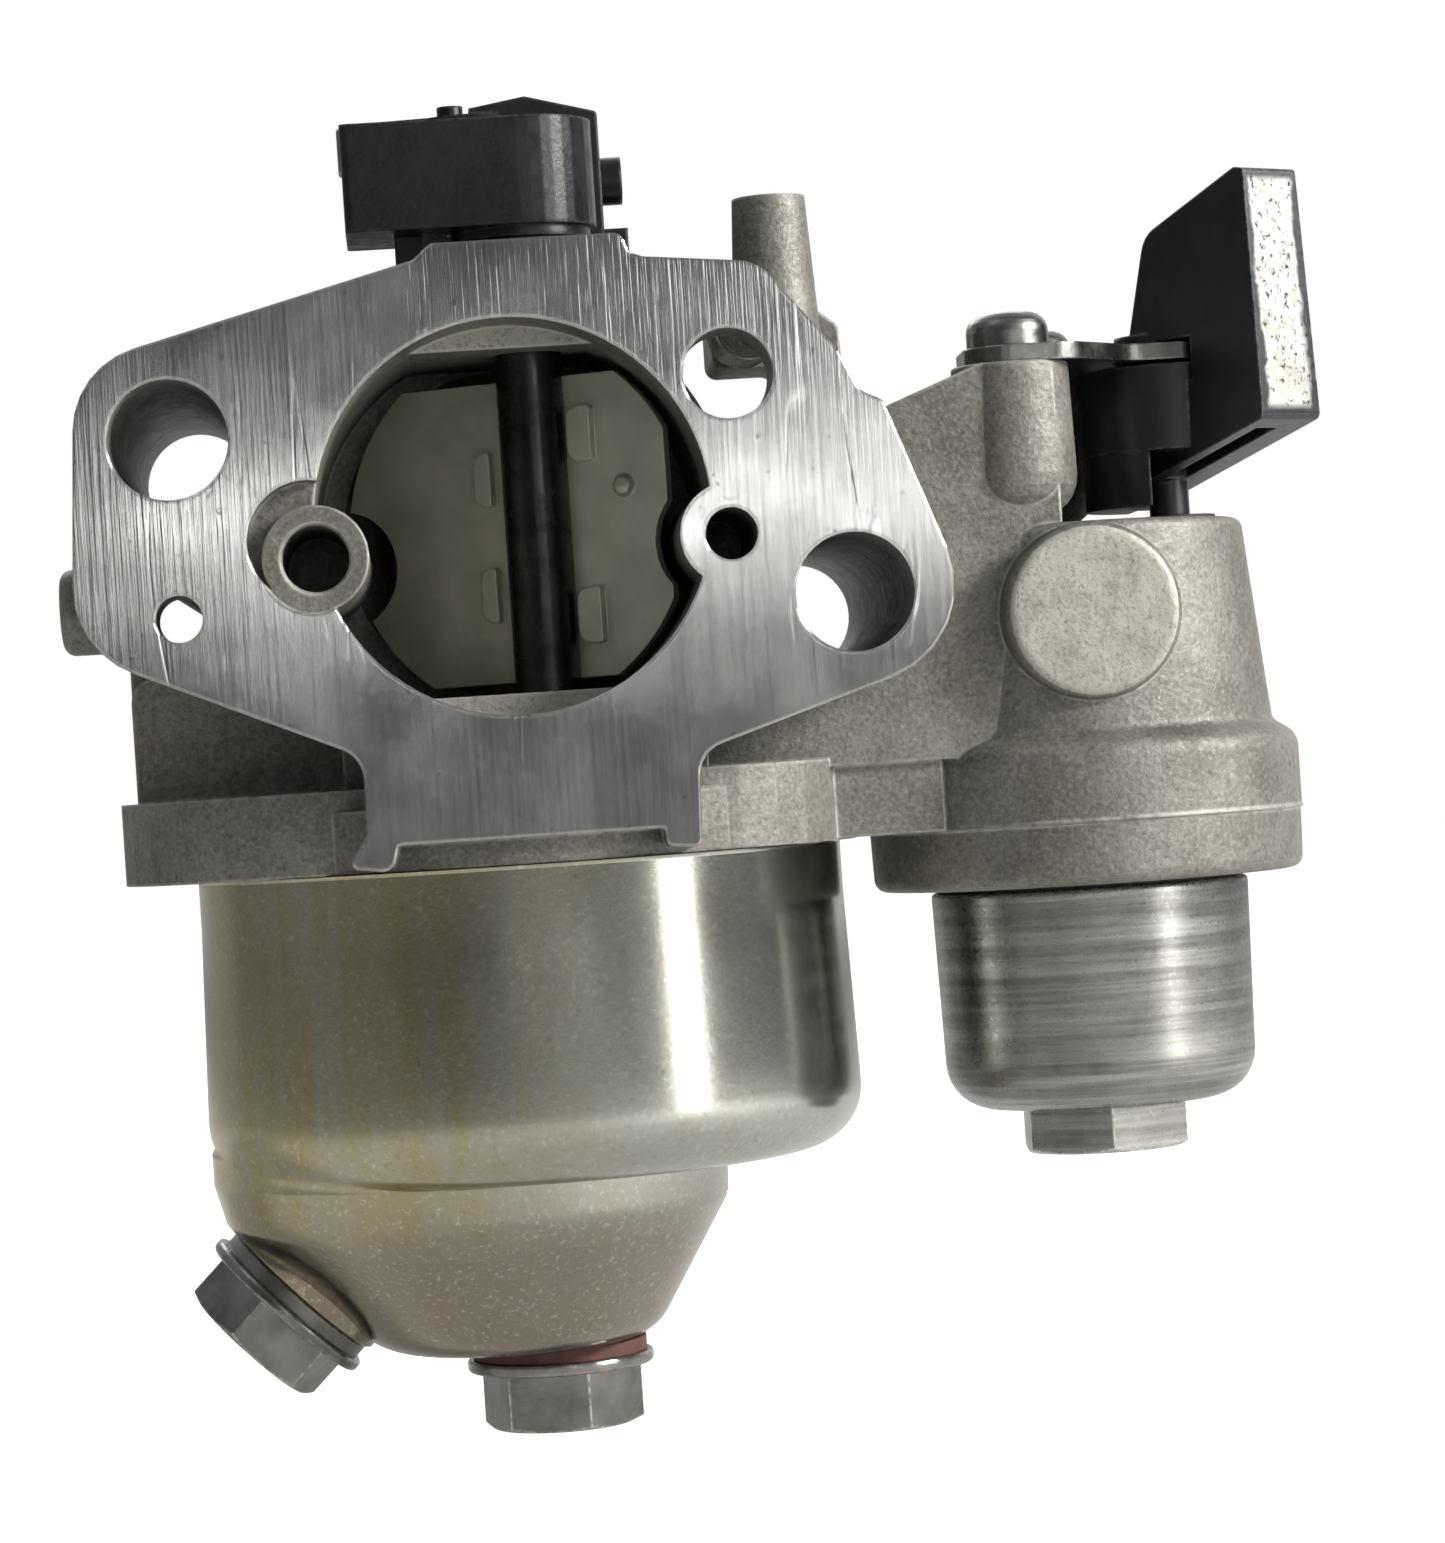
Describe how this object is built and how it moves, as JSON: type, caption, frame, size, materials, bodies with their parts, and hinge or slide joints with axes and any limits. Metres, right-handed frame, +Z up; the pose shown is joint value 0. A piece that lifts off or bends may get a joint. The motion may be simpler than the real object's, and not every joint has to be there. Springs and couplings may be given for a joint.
{
  "type": "carburetor",
  "caption": "Small-engine float-bowl carburetor with vertical choke and throttle shafts, a rotary fuel valve lever and a screwed sediment cup.",
  "frame": {"origin": "centre of the outlet bore in the engine-side flange face", "axes": "+Y along the air passage towards the engine, +X towards the fuel valve and sediment cup, +Z up along the choke and throttle shafts"},
  "size_m": [0.0802, 0.0485, 0.0865],
  "materials": {
    "cast_alloy": "die-cast zinc-aluminium with machined flange faces",
    "blackened_steel": "black oxide",
    "olive_steel": "yellow-passivated sheet",
    "black_plastic": "moulded, satin",
    "bright_steel": "ground",
    "brass": "machined",
    "zinc_steel": "zinc plated",
    "rubber": "moulded",
    "float_plastic": "moulded",
    "bowl_steel": "deep-drawn, yellow-zinc passivated",
    "fibre_washer": "red vulcanised fibre",
    "lever_plastic": "moulded, worn tip",
    "cup_alloy": "turned and tumbled",
    "strainer_plastic": "moulded frame"
  },
  "bodies": {
    "carburetor": {"carburetor_body": "cast_alloy", "throttle_shaft_seal": "rubber", "choke_shaft_seal": "rubber", "idle_stop_spring": "bright_steel", "mixture_spring": "bright_steel", "pilot_jet": "black_plastic", "pilot_jet_seal": "rubber", "main_nozzle": "brass", "main_jet": "brass", "float_pin": "bright_steel", "needle_seat": "brass", "float_bowl": "bowl_steel", "bowl_gasket": "rubber", "bowl_bolt": "zinc_steel", "bowl_bolt_washer": "fibre_washer", "drain_bolt": "zinc_steel", "drain_washer": "zinc_steel", "fuel_valve_seal": "rubber", "valve_retaining_plate": "zinc_steel", "valve_plate_screws": "zinc_steel", "sediment_cup": "cup_alloy", "sediment_cup_seal": "rubber", "fuel_strainer": "strainer_plastic", "fuel_inlet_nipple": "brass", "passage_plugs": "zinc_steel"},
    "choke": {"choke_shaft": "blackened_steel", "choke_plate": "olive_steel", "choke_lever": "black_plastic"},
    "throttle": {"throttle_shaft": "bright_steel", "throttle_plate": "brass", "throttle_plate_screw": "zinc_steel", "throttle_lever": "black_plastic"},
    "fuel_valve": {"fuel_valve_lever": "lever_plastic"},
    "float_arm": {"float": "float_plastic"},
    "needle": {"inlet_needle": "bright_steel"},
    "idle_screw": {"idle_stop_screw": "zinc_steel"},
    "mixture_needle": {"mixture_screw": "brass"}
  },
  "joints": [
    {"name": "choke_turn", "type": "hinge", "parent": "carburetor", "child": "choke", "pos_m": [0.0018, -0.032, 0], "axis": [0, 0, 1], "range_deg": [-60, 13]},
    {"name": "throttle_turn", "type": "hinge", "parent": "carburetor", "child": "throttle", "pos_m": [0, -0.01, 0], "axis": [0, 0, 1], "range_deg": [0, 70]},
    {"name": "fuel_valve_turn", "type": "hinge", "parent": "carburetor", "child": "fuel_valve", "pos_m": [0.0431, -0.021, 0.005], "axis": [0, 0, 1], "range_deg": [0, 90]},
    {"name": "float_swing", "type": "hinge", "parent": "carburetor", "child": "float_arm", "pos_m": [0.0155, -0.021, -0.0237], "axis": [0, 1, 0], "range_deg": [0, 10]},
    {"name": "needle_slide", "type": "slide", "parent": "carburetor", "child": "needle", "axis": [0, 0, 1], "range_m": [0, 0.0008]},
    {"name": "idle_screw_turn", "type": "hinge", "parent": "carburetor", "child": "idle_screw", "pos_m": [0.0086, -0.02, 0.0152], "axis": [0, 1, 0], "range_deg": [-180, 180]},
    {"name": "mixture_screw_turn", "type": "hinge", "parent": "carburetor", "child": "mixture_needle", "pos_m": [0.0162, -0.02, 0.0123], "axis": [0, 1, 0], "range_deg": [-180, 180]}
  ],
  "couplings": [
    {"joint": "needle_slide", "follows": "float_swing", "m_per_rad": 0.0043}
  ]
}
